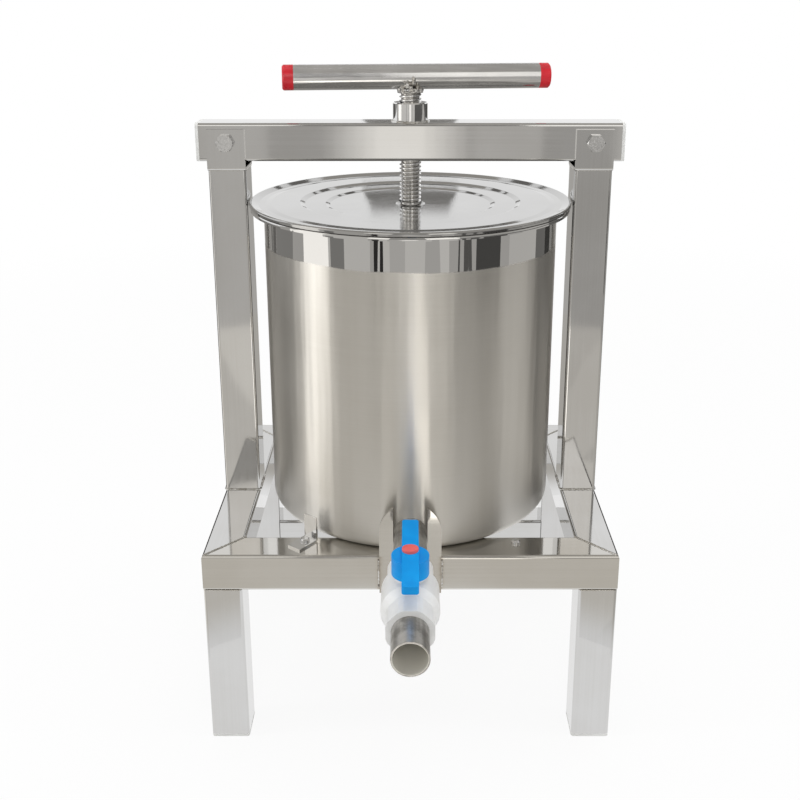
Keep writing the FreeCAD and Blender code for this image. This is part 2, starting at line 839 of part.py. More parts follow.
def valve_handle_cap():
    cap = handle_cap_block(wing_middle_top - handle_cap_seat)
    top = [e for e in cap.Edges if e.BoundBox.ZMin > outlet_z + wing_middle_top]
    return cap.makeFillet(handle_cap_round, top)


def all_pieces():
    pieces = {}
    pieces.update(base_rails())
    pieces.update(legs())
    pieces["leg_end_caps"] = leg_end_caps()
    pieces["rear_stretcher"] = rear_stretcher()
    pieces["left_post"] = left_post()
    pieces["right_post"] = mirrored_x(left_post())
    pieces["left_fork"] = left_fork()
    pieces["right_fork"] = mirrored_x(left_fork())
    pieces["crossbeam"] = crossbeam()
    pieces["beam_end_plugs"] = beam_end_plugs()
    pieces["fork_bolts"] = fork_bolts()
    pieces["fork_washers"] = fork_washers()
    pieces["fork_nuts"] = fork_nuts()
    pieces["screw_nut"] = screw_nut()
    pieces["outlet_cradle"] = outlet_cradle()
    pieces["barrel_stop"] = barrel_stop()
    pieces["stop_screws"] = stop_screws()
    pieces.update(barrel_wall_panels())
    pieces["barrel_floor"] = barrel_floor()
    pieces["barrel_foot"] = barrel_foot()
    pieces["barrel_rim"] = barrel_rim()
    pieces["outlet_stub"] = outlet_stub()
    pieces["basket"] = basket()
    pieces["basket_feet"] = basket_feet()
    pieces["lid"] = lid()
    pieces["press_plate"] = press_plate()
    pieces["press_ribs"] = press_ribs()
    pieces["press_hub"] = press_hub()
    pieces["thrust_washer"] = thrust_washer()
    pieces["press_screw"] = press_screw()
    pieces["screw_retainer"] = screw_retainer()
    pieces["handle_tube"] = handle_tube()
    pieces["right_handle_cap"] = right_handle_cap()
    pieces["left_handle_cap"] = left_handle_cap()
    pieces["valve_body"] = valve_body()
    pieces["valve_end_collar"] = valve_end_collar()
    pieces["back_valve_seat"] = back_valve_seat()
    pieces["front_valve_seat"] = front_valve_seat()
    pieces["spout"] = spout()
    pieces["valve_ball"] = valve_ball()
    pieces["valve_stem"] = valve_stem()
    pieces["valve_handle"] = valve_handle()
    pieces["valve_handle_cap"] = valve_handle_cap()
    return pieces


def export(name, shape):
    placed = shape.copy()
    placed.translate(Y_AXIS * axis_y)
    if not placed.isValid() or not placed.Solids:
        print("check", name, placed.ShapeType, "valid", placed.isValid(), "solids", len(placed.Solids))
    placed.exportStep(os.path.join("parts", name + ".step"))


def main():
    os.makedirs("parts", exist_ok=True)
    pieces = all_pieces()
    for name, shape in pieces.items():
        export(name, shape)
    print(len(pieces), "nodes, barrel axis at y =", round(axis_y, 3))


main()
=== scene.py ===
import math
import random

import bpy
from mathutils import Matrix, Vector, noise


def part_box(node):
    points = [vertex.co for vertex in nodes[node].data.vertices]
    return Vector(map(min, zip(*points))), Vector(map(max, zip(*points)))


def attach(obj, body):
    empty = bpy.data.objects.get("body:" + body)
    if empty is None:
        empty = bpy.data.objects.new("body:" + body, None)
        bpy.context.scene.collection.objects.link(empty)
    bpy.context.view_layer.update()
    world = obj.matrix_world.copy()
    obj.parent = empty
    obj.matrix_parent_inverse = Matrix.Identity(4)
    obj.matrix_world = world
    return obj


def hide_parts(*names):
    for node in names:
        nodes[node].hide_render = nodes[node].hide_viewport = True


# Honey press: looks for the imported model. Metres, Z up, -Y towards the viewer.

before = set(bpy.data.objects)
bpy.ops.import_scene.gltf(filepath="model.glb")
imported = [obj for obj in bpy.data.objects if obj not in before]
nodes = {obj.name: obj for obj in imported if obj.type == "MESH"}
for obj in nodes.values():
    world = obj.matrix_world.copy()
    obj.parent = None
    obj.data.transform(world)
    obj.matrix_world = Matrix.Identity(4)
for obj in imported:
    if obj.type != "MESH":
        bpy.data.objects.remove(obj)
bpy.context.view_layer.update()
up = Vector((0, 0, 1))
mm = 0.001


def middleOf(node):
    low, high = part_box(node)
    return (low + high) / 2


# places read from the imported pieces
axisY = middleOf("thrust_washer").y
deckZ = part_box("barrel_foot")[0].z
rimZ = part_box("barrel_rim")[1].z
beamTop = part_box("crossbeam")[1].z
nutLow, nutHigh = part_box("screw_nut")
outletZ = middleOf("outlet_stub").z
handleZ = middleOf("handle_tube").z
railLow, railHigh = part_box("front_rail")
postLow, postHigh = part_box("left_post")
print("scene: frame loaded")


class Value:
    # a socket of a shader tree, so that its maths reads as arithmetic
    def __init__(self, tree, socket):
        self.tree = tree
        self.socket = socket

    def step(self, operation, first, second=None):
        node = self.tree.nodes.new("ShaderNodeMath")
        node.operation = operation
        for slot, value in zip(node.inputs, (first, second)):
            plug(self.tree, slot, value)
        return Value(self.tree, node.outputs[0])

    def __add__(self, other):
        return self.step("ADD", self, other)

    def __radd__(self, other):
        return self.step("ADD", other, self)

    def __sub__(self, other):
        return self.step("SUBTRACT", self, other)

    def __rsub__(self, other):
        return self.step("SUBTRACT", other, self)

    def __mul__(self, other):
        return self.step("MULTIPLY", self, other)

    def __rmul__(self, other):
        return self.step("MULTIPLY", other, self)

    def __truediv__(self, other):
        return self.step("DIVIDE", self, other)

    def __rtruediv__(self, other):
        return self.step("DIVIDE", other, self)

    def __pow__(self, other):
        return self.step("POWER", self, other)

    def __gt__(self, other):
        return self.step("GREATER_THAN", self, other)

    def __lt__(self, other):
        return self.step("LESS_THAN", self, other)

    def __abs__(self):
        return self.step("ABSOLUTE", self)


def plug(tree, slot, value):
    if isinstance(value, Value):
        tree.links.new(value.socket, slot)
    elif value is not None:
        slot.default_value = value


class Shading:
    # a node tree with short ways to add to it
    def __init__(self, tree):
        self.tree = tree

    def add(self, kind, settings, inputs, output=0):
        node = self.tree.nodes.new(kind)
        for name, value in settings.items():
            if name == "stops":
                fillRamp(node.color_ramp, value)
            else:
                setattr(node, name, value)
        for name, value in inputs.items():
            plug(self.tree, node.inputs[name], value)
        if node.outputs:
            return Value(self.tree, node.outputs[output])

    def place(self):
        return self.add("ShaderNodeTexCoord", {}, {}, "Object")

    def scaled(self, vector, scale, shift=(0, 0, 0)):
        return self.add("ShaderNodeMapping", {}, {"Vector": vector, "Scale": scale, "Location": shift})

    def axes(self, vector, wanted="XYZ"):
        return [self.add("ShaderNodeSeparateXYZ", {}, {"Vector": vector}, axis) for axis in wanted]

    def fromAxis(self, place):
        # how far a point is from the barrel's axis
        x, y = self.axes(place, "XY")
        side = y - axisY
        return (x * x + side * side) ** 0.5

    def noise(self, vector, scale, detail=3.0, rough=0.5):
        inputs = {"Vector": vector, "Scale": scale, "Detail": detail, "Roughness": rough}
        return self.add("ShaderNodeTexNoise", {}, inputs, "Fac")

    def between(self, value, low, high, start=0.0, end=1.0):
        inputs = {"Value": value, "From Min": low, "From Max": high, "To Min": start, "To Max": end}
        return self.add("ShaderNodeMapRange", {"interpolation_type": "SMOOTHSTEP"}, inputs)

    def mix(self, share, first, second):
        return self.add("ShaderNodeMix", {"data_type": "RGBA"}, {0: share, 6: first, 7: second}, 2)

    def bump(self, height, strength, distance):
        inputs = {"Height": height, "Strength": strength, "Distance": distance}
        return self.add("ShaderNodeBump", {}, inputs)

    def seenRays(self):
        # 1 for what the camera, a mirror or a clear body sees
        camera = self.add("ShaderNodeLightPath", {}, {}, "Is Camera Ray")
        mirror = self.add("ShaderNodeLightPath", {}, {}, "Is Glossy Ray")
        clear = self.add("ShaderNodeLightPath", {}, {}, "Is Transmission Ray")
        return camera + mirror + clear


class Finish(Shading):
    # one material with a Principled shader, whose steady sockets are set when it is made
    def __init__(self, name, **constants):
        self.material = bpy.data.materials.new(name)
        self.material.use_nodes = True
        super().__init__(self.material.node_tree)
        self.shader = self.tree.nodes["Principled BSDF"]
        for socket, value in constants.items():
            self.shader.inputs[socket.replace("_", " ")].default_value = value

    def set(self, **values):
        for name, value in values.items():
            plug(self.tree, self.shader.inputs[name.replace("_", " ")], value)
        return self.material


def fillRamp(ramp, stops):
    while len(ramp.elements) < len(stops):
        ramp.elements.new(1.0)
    for element, (position, colour) in zip(ramp.elements, stops):
        element.position = position
        element.color = colour


def grey(level, warmth=0.0):
    return (level * (1 + warmth), level, level * (1 - 2 * warmth), 1.0)


# finishes

tubeLook = {
    "light": grey(0.64, 0.003), "dark": grey(0.60, 0.008), "streakAcross": 420, "streakAlong": 2.5,
    "roughLow": 0.035, "roughHigh": 0.085, "bump": 0.0025, "waveAcross": 24, "waveAlong": 3.5, "waves": 0.22,
}


def tubeSteel(name, along, look=tubeLook, tint=None):
    # drawn stainless tube, polished lengthwise, with cloudy reflections and a few scratches
    finish = Finish(name, Metallic=1.0)
    place = finish.place()
    stretch = [look["streakAlong"] if axis == along else look["streakAcross"] for axis in "XYZ"]
    streaks = finish.noise(finish.scaled(place, stretch), 1.0, 4.0, 0.6)
    clouds = finish.noise(place, 14.0, 3.0)
    finer = [scale * 2.2 for scale in stretch]
    scratches = finish.noise(finish.scaled(place, finer, (3, 5, 7)), 1.0, 2.0, 0.4)
    shade = streaks * 0.35 + clouds * 0.65
    colour = finish.mix(finish.between(shade, 0.35, 0.66), look["dark"], look["light"])
    if tint:
        colour = tint(finish, place, colour)
    rough = finish.between(streaks * 0.5 + clouds * 0.5, 0.3, 0.7, look["roughLow"], look["roughHigh"])
    worn = streaks - finish.between(scratches, 0.68, 0.74) * 0.5
    swell = [look["waveAlong"] if axis == along else look["waveAcross"] for axis in "XYZ"]
    waves = finish.noise(finish.scaled(place, swell, (2, 9, 4)), 1.0, 1.5, 0.4)
    normal = finish.bump(waves * look["waves"] + worn * look["bump"], 1.0, 0.001)
    return finish.set(Base_Color=colour, Roughness=rough, Normal=normal)


tintLook = {
    "reach": 7.5 * mm, "core": 4.5 * mm, "wander": 4 * mm, "straw": (0.46, 0.41, 0.33, 1), "strawShare": 0.4,
    "brown": (0.24, 0.20, 0.16, 1), "brownShare": 0.4,
}


def cradleTint(finish, place, colour):
    # heat colours on the rail's front beside the cradle's two side welds
    x, y, z = finish.axes(place)
    low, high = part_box("outlet_cradle")
    beside = abs(abs(x) - high.x)
    wander = finish.noise(place, 160.0, 2.0) * tintLook["wander"]
    front = (y < railLow.y + 2 * mm) * (z < railHigh.z + 2 * mm)
    near = finish.between(beside + wander, tintLook["reach"], 1 * mm) * front
    core = finish.between(beside + wander, tintLook["core"], 1.5 * mm) * front
    colour = finish.mix(near * tintLook["strawShare"], colour, tintLook["straw"])
    return finish.mix(core * tintLook["brownShare"], colour, tintLook["brown"])


barrelLook = {
    "bandDepth": 0.0345, "bandColour": grey(0.70, 0.004), "satinLight": grey(0.64, 0.028),
    "satinDark": grey(0.58, 0.034), "bandRough": 0.035, "satinRough": 0.33, "anisotropy": 0.85,
    "brush": 0.006, "waves": 0.9,
}


def barrelSteel():
    # a mirror band under the rim, and below it a satin brushed round the barrel
    look = barrelLook
    finish = Finish("barrelSteel", Metallic=1.0, Anisotropic=look["anisotropy"], Anisotropic_Rotation=0.25)
    place = finish.place()
    z = finish.axes(place, "Z")[0]
    edge = finish.noise(finish.scaled(place, (14, 14, 1)), 1.0, 2.0) * 0.006
    band = finish.between(z + edge, rimZ - look["bandDepth"], rimZ - look["bandDepth"] + 0.002)
    brushing = finish.noise(finish.scaled(place, (9, 9, 1900)), 1.0, 4.0, 0.65)
    streaks = finish.noise(finish.scaled(place, (26, 26, 0.6)), 1.0, 3.0, 0.55)
    handling = finish.noise(place, 9.0, 4.0, 0.6)
    shade = streaks * 0.55 + brushing * 0.2 + handling * 0.25
    satin = finish.mix(finish.between(shade, 0.36, 0.62), look["satinDark"], look["satinLight"])
    colour = finish.mix(band, satin, look["bandColour"])
    handled = handling * 0.6 + brushing * 0.4
    satinRough = finish.between(handled, 0.3, 0.7, look["satinRough"] - 0.05, look["satinRough"] + 0.06)
    rough = band * look["bandRough"] + (1 - band) * satinRough
    waves = finish.noise(finish.scaled(place, (42, 42, 3)), 1.0, 2.0, 0.45)
    normal = finish.bump(waves * look["waves"] + brushing * (1 - band) * look["brush"], 1.0, 0.001)
    return finish.set(Base_Color=colour, Roughness=rough, Normal=normal)


def polishedSteel(name, light, dark, roughness, spin=0.03):
    # turned and polished sheet: fine rings round the middle and faint wiping marks
    finish = Finish(name, Metallic=1.0)
    place = finish.place()
    outward = {"W": finish.fromAxis(place) * 2600, "Detail": 2.0}
    rings = finish.add("ShaderNodeTexNoise", {"noise_dimensions": "1D"}, outward, "Fac")
    wiping = finish.noise(place, 11.0, 4.0, 0.6)
    colour = finish.mix(finish.between(wiping, 0.35, 0.65), dark, light)
    rough = finish.between(wiping, 0.35, 0.7, roughness * 0.8, roughness * 1.5)
    return finish.set(Base_Color=colour, Roughness=rough, Normal=finish.bump(rings, spin, 0.0001))


def machinedSteel(name, light, dark, roughness, scale=260.0, tint=None, bump=0.06):
    finish = Finish(name, Metallic=1.0)
    place = finish.place()
    grain = finish.noise(place, scale, 3.0, 0.6)
    stains = finish.noise(place, 34.0, 3.0, 0.6)
    colour = finish.mix(finish.between(grain * 0.4 + stains * 0.6, 0.35, 0.65), dark, light)
    if tint:
        colour = tint(finish, place, colour)
    rough = finish.between(grain, 0.3, 0.7, roughness * 0.8, roughness * 1.3)
    return finish.set(Base_Color=colour, Roughness=rough, Normal=finish.bump(grain, bump, 0.0002))


# radii of the thread's root and crest, between which its painted groove shade fades out, and the shade's
# colour
threadLook = {"root": 9.4 * mm, "crest": 10.7 * mm, "grooveShade": grey(0.62, 0.02)}


def threadGrooveShade(finish, place, colour):
    # painted shade: the thread's roots are darkened, as shade falls in its grooves, fading to the plain
    # colour at the crests
    crestShare = finish.between(finish.fromAxis(place), threadLook["root"], threadLook["crest"])
    return finish.mix(crestShare, threadLook["grooveShade"], colour)


pipeLook = {
    "light": grey(0.54, 0.02), "dark": grey(0.30, 0.03), "rough": 0.38, "inside": (0.74, 0.72, 0.66, 1),
    "insideRough": 0.6, "insideMetal": 0.25, "bore": 14.9 * mm,
}


def pipeSteel():
    # the outlet pipe: stained satin outside, pale and matt inside
    look = pipeLook
    finish = Finish("pipeSteel")
    place = finish.place()
    x, z = finish.axes(place, "XZ")
    rise = z - outletZ
    inside = (x * x + rise * rise) ** 0.5 < look["bore"]
    streaks = finish.noise(finish.scaled(place, (300, 5, 300)), 1.0, 3.0, 0.6)
    stains = finish.noise(place, 60.0, 4.0, 0.65)
    soiled = streaks * 0.3 + stains * 0.7
    colour = finish.mix(finish.between(soiled, 0.38, 0.6), look["dark"], look["light"])
    colour = finish.mix(inside, colour, look["inside"])
    rough = finish.between(stains, 0.3, 0.7, look["rough"] * 1.4, look["rough"])
    rough = inside * (look["insideRough"] - rough) + rough
    metal = 1 - inside * (1 - look["insideMetal"])
    pits = finish.bump(stains, 0.15, 0.0003)
    return finish.set(Base_Color=colour, Roughness=rough, Metallic=metal, Normal=pits)


heatStops = [
    (0.30, (0.22, 0.20, 0.19, 1)), (0.42, (0.44, 0.42, 0.38, 1)),
    (0.52, (0.62, 0.61, 0.59, 1)), (0.70, (0.74, 0.74, 0.73, 1)),
]


def weldSteel():
    # weld metal: bright ripples with brown and straw heat colours
    finish = Finish("weldSteel", Metallic=1.0)
    place = finish.place()
    ripple = finish.noise(place, 420.0, 2.0, 0.6)
    heat = finish.noise(place, 95.0, 3.0, 0.6)
    colour = finish.add("ShaderNodeValToRGB", {"stops": heatStops}, {"Fac": heat})
    rough = finish.between(ripple, 0.3, 0.7, 0.06, 0.22)
    return finish.set(Base_Color=colour, Roughness=rough, Normal=finish.bump(ripple, 0.6, 0.0008))


def mouldedPlastic(name, light, dark, roughness, shine=0.5, grain=900.0, bump=0.02):
    # injection-moulded plastic: slight flow marks and a fine skin
    finish = Finish(name, Metallic=0.0, Specular_IOR_Level=shine)
    place = finish.place()
    flow = finish.noise(finish.scaled(place, (40, 40, 110)), 1.0, 3.0, 0.55)
    skin = finish.noise(place, grain, 2.0, 0.5)
    colour = finish.mix(finish.between(flow, 0.32, 0.7), dark, light)
    rough = finish.between(flow * 0.5 + skin * 0.5, 0.3, 0.7, roughness * 0.85, roughness * 1.2)
    return finish.set(Base_Color=colour, Roughness=rough, Normal=finish.bump(skin, bump, 0.0002))


railLook = {**tubeLook, "light": grey(0.62, 0.022), "dark": grey(0.58, 0.028)}
handleLook = {**tubeLook, "light": grey(0.70), "dark": grey(0.58), "roughLow": 0.10, "roughHigh": 0.20}

finishes = {
    "tubeX": tubeSteel("tubeSteelX", "X"),
    "tubeY": tubeSteel("tubeSteelY", "Y"),
    "tubeZ": tubeSteel("tubeSteelZ", "Z"),
    "frontRail": tubeSteel("frontRailSteel", "X", railLook, cradleTint),
    "barrel": barrelSteel(),
    "lid": polishedSteel("lidSteel", grey(0.51, 0.004), grey(0.475, 0.006), 0.05),
    "perforated": polishedSteel("perforatedSteel", grey(0.66), grey(0.54), 0.22),
    "handle": tubeSteel("handleSteel", "X", handleLook),
    "pipe": pipeSteel(),
    # the screw's finish gets painted shade in the roots of its thread
    "screw": machinedSteel("screwSteel", grey(0.94), grey(0.86), 0.16, tint=threadGrooveShade),
    "boss": machinedSteel("bossSteel", grey(0.90), grey(0.82), 0.06, 90.0),
    "machined": machinedSteel("machinedSteel", grey(0.68), grey(0.54), 0.24),
    "bolt": machinedSteel("boltSteel", grey(0.86), grey(0.60), 0.16, 420.0, bump=0.6),
    "weld": weldSteel(),
    "tubeWeld": machinedSteel("tubeWeldSteel", grey(0.60, 0.02), grey(0.42, 0.05), 0.26, 380.0),
    "pvc": mouldedPlastic("whitePvc", (0.79, 0.79, 0.78, 1), (0.73, 0.73, 0.72, 1), 0.34, 0.35),
    "seat": mouldedPlastic("seatPlastic", (0.84, 0.84, 0.80, 1), (0.76, 0.76, 0.72, 1), 0.4),
    "blue": mouldedPlastic("bluePlastic", (0.001, 0.32, 0.78, 1), (0.001, 0.27, 0.71, 1), 0.34, 0.14),
    "red": mouldedPlastic("redPlastic", (0.66, 0.008, 0.022, 1), (0.50, 0.006, 0.016, 1), 0.32, 0.4),
    "button": mouldedPlastic("buttonPlastic", (0.80, 0.13, 0.12, 1), (0.70, 0.09, 0.09, 1), 0.42, 0.4),
    "plug": mouldedPlastic("palePlug", (0.80, 0.80, 0.78, 1), (0.70, 0.70, 0.68, 1), 0.45),
}

barrelNodes = [
    "barrel_front_left", "barrel_front_right", "barrel_rear_left", "barrel_rear_right",
    "barrel_foot", "barrel_rim",
]
nodeFinish = {
    "tubeX": ["rear_rail", "rear_stretcher", "crossbeam"],
    "frontRail": ["front_rail", "outlet_cradle"],
    "tubeY": ["left_side_rail", "right_side_rail"],
    "tubeZ": [
        "front_left_leg", "front_right_leg", "rear_left_leg", "rear_right_leg", "left_post", "right_post",
        "left_fork", "right_fork", "barrel_stop",
    ],
    "plug": ["leg_end_caps", "beam_end_plugs"],
    "bolt": ["fork_bolts", "fork_washers", "fork_nuts", "stop_screws"],
    "boss": ["screw_nut"],
    "machined": [
        "press_plate", "press_ribs", "press_hub", "thrust_washer", "screw_retainer", "basket_feet",
    ],
    "pipe": ["outlet_stub", "spout"],
    "perforated": ["basket"],
    "handle": ["handle_tube"],
    "red": ["right_handle_cap", "left_handle_cap"],
    "button": ["valve_handle_cap"],
    "pvc": ["valve_body", "valve_end_collar", "valve_ball", "valve_stem"],
    "seat": ["back_valve_seat", "front_valve_seat"],
    "blue": ["valve_handle"],
    "barrel": ["barrel_floor"] + barrelNodes,
    "lid": ["lid"],
    "screw": ["press_screw"],
}
for finishName, names in nodeFinish.items():
    for name in names:
        mesh = nodes[name].data
        mesh.materials.clear()
        mesh.materials.append(finishes[finishName])
print("scene: finishes on", len(nodes), "nodes")


# mesh helpers

def newPiece(name, vertices, faces, finish, smoothAngle=40):
    mesh = bpy.data.meshes.new(name)
    mesh.from_pydata(vertices, [], faces)
    mesh.materials.append(finishes[finish])
    mesh.validate()
    mesh.shade_smooth()
    mesh.set_sharp_from_angle(angle=math.radians(smoothAngle))
    piece = bpy.data.objects.new(name, mesh)
    bpy.context.scene.collection.objects.link(piece)
    return piece


def gridFaces(rows, columns, closedRows=False):
    # quads of a grid whose columns close on themselves, and whose rows may
    faces = []
    for row in range(rows if closedRows else rows - 1):
        following = (row + 1) % rows
        for column in range(columns):
            across = (column + 1) % columns
            faces.append((row * columns + column, row * columns + across,
                          following * columns + across, following * columns + column))
    return faces


def endFaces(rows, columns):
    # the two caps of an open grid
    last = (rows - 1) * columns
    return [tuple(range(columns))[::-1], tuple(range(last, last + columns))]


def ringPoints(radius, height, count):
    # points round the barrel's axis
    angles = [2 * math.pi * index / count for index in range(count)]
    return [(radius * math.cos(angle), axisY + radius * math.sin(angle), height) for angle in angles]


def roundedPath(points, radii, step=math.radians(9), hold=0.3 * mm):
    # a path of (radius, height) points with each inner corner turned into an arc
    path = [Vector(points[0])]
    for before, corner, after, radius in zip(points, points[1:], points[2:], radii):
        before, corner, after = Vector(before), Vector(corner), Vector(after)
        into = (before - corner).normalized()
        out = (after - corner).normalized()
        half = into.angle(out) / 2
        turn = math.pi - 2 * half
        centre = corner + (into + out).normalized() * (radius / math.sin(half))
        run = radius / math.tan(half)
        start = corner + into * run - centre
        sense = 1 if into.x * out.y - into.y * out.x < 0 else -1
        count = max(2, math.ceil(turn / step))
        # a point just before and after each arc keeps the straights flat when shaded smooth
        if (before - corner).length > run + 3 * hold:
            path.append(corner + into * (run + hold))
        for index in range(count + 1):
            angle = sense * turn * index / count
            path.append(centre + Matrix.Rotation(angle, 2) @ start)
        if (after - corner).length > run + 3 * hold:
            path.append(corner + out * (run + hold))
    path.append(Vector(points[-1]))
    return path


def besidePath(points, thickness):
    # the same corners, moved to the path's left by the sheet's thickness
    corners = [Vector(p) for p in points]
    lefts = []
    for start, end in zip(corners, corners[1:]):
        along = (end - start).normalized()
        lefts.append(Vector((-along.y, along.x)))
    moved = [corners[0] + lefts[0] * thickness]
    for corner, before, after in zip(corners[1:], lefts, lefts[1:]):
        moved.append(corner + (before + after) * (thickness / (1 + before.dot(after))))
    moved.append(corners[-1] + lefts[-1] * thickness)
    turns = [before.x * after.y - before.y * after.x > 0 for before, after in zip(lefts, lefts[1:])]
    return moved, turns


def sheetOutline(points, radii, thickness):
    beside, turns = besidePath(points, thickness)
    inner = [radius - thickness if left else radius + thickness for radius, left in zip(radii, turns)]
    return roundedPath(points, radii) + roundedPath(beside[::-1], inner[::-1])


def lathe(name, outline, finish, segments=256):
    # spins a closed (radius, height) outline round the barrel's axis
    vertices = []
    for radius, height in outline:
        vertices += ringPoints(radius, height, segments)
    return newPiece(name, vertices, gridFaces(len(outline), segments, closedRows=True), finish)


beadShape = {"sides": 10, "ripplePitch": 1.9, "grain": 900, "grainShare": 0.4}


def sweep(name, path, radius, finish, closed=False, ripple=0.0, lump=0.0, seed=0):
    # a bead of round section along a path, with ripples and lumps
    sides = beadShape["sides"]
    generator = random.Random(seed)
    count = len(path)
    vertices = []
    for index, point in enumerate(path):
        before = path[(index - 1) % count] if closed or index else path[0]
        after = path[(index + 1) % count] if closed or index < count - 1 else path[-1]
        along = (after - before).normalized()
        side = along.orthogonal().normalized() if abs(along.z) > 0.9 else along.cross(up).normalized()
        other = along.cross(side)
        wave = 1 + ripple * math.sin(index * beadShape["ripplePitch"]) + lump * (generator.random() - 0.5)
        for turn in range(sides):
            angle = 2 * math.pi * turn / sides
            grain = noise.noise(point * beadShape["grain"] + Vector((turn, seed, 0)))
            rough = 1 + lump * beadShape["grainShare"] * grain
            outward = side * math.cos(angle) + other * math.sin(angle)
            vertices.append(point + outward * radius * wave * rough)
    faces = gridFaces(count, sides, closedRows=closed)
    if not closed:
        faces += endFaces(count, sides)
    return newPiece(name, vertices, faces, finish, 60)


def circlePath(centre, radius, count):
    # a level circle
    side = up.orthogonal().normalized()
    other = up.cross(side)
    angles = [2 * math.pi * index / count for index in range(count)]
    return [centre + (side * math.cos(angle) + other * math.sin(angle)) * radius for angle in angles]


def linePath(start, end, spacing=0.0012):
    count = max(3, round((end - start).length / spacing))
    return [start.lerp(end, index / (count - 1)) for index in range(count)]


# barrel and lid, spun finely enough for mirror reflections

barrelSheet = {
    "wall": 1.5 * mm, "footBend": 8 * mm, "rimBend": 2 * mm, "lip": 4.5 * mm, "outletBore": 16.05 * mm,
    "boreFrom": -160 * mm, "boreTo": -100 * mm, "segments": 288,
}


def barrelShell():
    # one sheet for the wall, the foot's bend and the rim, drilled for the outlet
    sheet = barrelSheet
    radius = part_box("barrel_front_right")[1].x
    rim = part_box("barrel_rim")[1].x - sheet["wall"]
    below = rimZ - sheet["wall"]
    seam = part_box("barrel_floor")[1].x
    points = [(seam, deckZ), (radius, deckZ), (radius, below), (rim, below), (rim, rimZ - sheet["lip"])]
    outline = sheetOutline(points, [sheet["footBend"], sheet["rimBend"], sheet["rimBend"]], sheet["wall"])
    shell = lathe("barrelShell", outline, "barrel", sheet["segments"])
    drill = outletDrill(sheet["outletBore"], sheet["boreFrom"], sheet["boreTo"])
    cutter = newPiece("outletCutter", *drill, "barrel")
    hole = shell.modifiers.new("outletHole", "BOOLEAN")
    hole.object = cutter
    hole.operation = "DIFFERENCE"
    hole.solver = "EXACT"
    drilled = bpy.data.meshes.new_from_object(shell.evaluated_get(bpy.context.evaluated_depsgraph_get()))
    shell.modifiers.clear()
    shell.data = drilled
    drilled.name = "barrelShell"
    bpy.data.objects.remove(cutter)
    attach(shell, "frame")
    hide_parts(*barrelNodes)
    return shell


def outletDrill(radius, start, end, sides=48):
    # a capped rod along Y at the outlet's height, for the barrel's hole
    vertices = []
    for y in (start, end):
        for index in range(sides):
            angle = 2 * math.pi * index / sides
            vertices.append((radius * math.cos(angle), axisY + y, outletZ + radius * math.sin(angle)))
    return vertices, gridFaces(2, sides) + endFaces(2, sides)


lidSheet = {  # radii and heights of the pressed steps
    "sheet": 1.0 * mm, "edge": 4.5 * mm, "valleyOut": 154.5 * mm, "valleyIn": 148 * mm,
    "landRise": 0.6 * mm, "landOut": 142 * mm, "landIn": 113 * mm,
    "ringDrop": 2.2 * mm, "ringOut": 108 * mm, "ringIn": 87 * mm,
    "discDrop": 1.6 * mm, "discOut": 82.5 * mm, "neck": 12.8 * mm, "neckRise": 3 * mm,
    "edgeBend": 2 * mm, "bend": 2.5 * mm, "neckBend": 1.5 * mm, "segments": 320,
}


def lidShell():
    # from the edge's skirt over the valley on the barrel's rim, then down in low steps to the screw's hole
    steps = lidSheet
    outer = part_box("lid")[1].x
    top = rimZ + steps["edge"]
    valley = rimZ + steps["sheet"]
    land = valley + steps["landRise"]
    ring = land - steps["ringDrop"]
    disc = ring - steps["discDrop"]
    points = [
        (outer, rimZ), (outer, top), (steps["valleyOut"], valley), (steps["valleyIn"], valley),
        (steps["landOut"], land), (steps["landIn"], land), (steps["ringOut"], ring), (steps["ringIn"], ring),
        (steps["discOut"], disc), (steps["neck"], disc), (steps["neck"], disc + steps["neckRise"]),
    ]
    radii = [steps["edgeBend"]] + [steps["bend"]] * 8 + [steps["neckBend"]]
    lid = lathe("lidShell", sheetOutline(points, radii, steps["sheet"]), "lid", steps["segments"])
    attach(lid, "lid")
    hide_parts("lid")
    return lid


# press screw with its thread

thread = {
    "crest": 11 * mm, "depth": 1.7 * mm, "lead": 4 * mm, "segments": 48, "journal": 8 * mm,
    "journalGap": 0.3 * mm, "collar": 2 * mm, "aboveBoss": 11.5 * mm,
    # shares of the lead at which the groove starts, its flank starts, and the ridge starts and ends
    "grooveStart": 0.0, "flankStart": 0.26, "ridgeStart": 0.48, "ridgeEnd": 0.78,
}


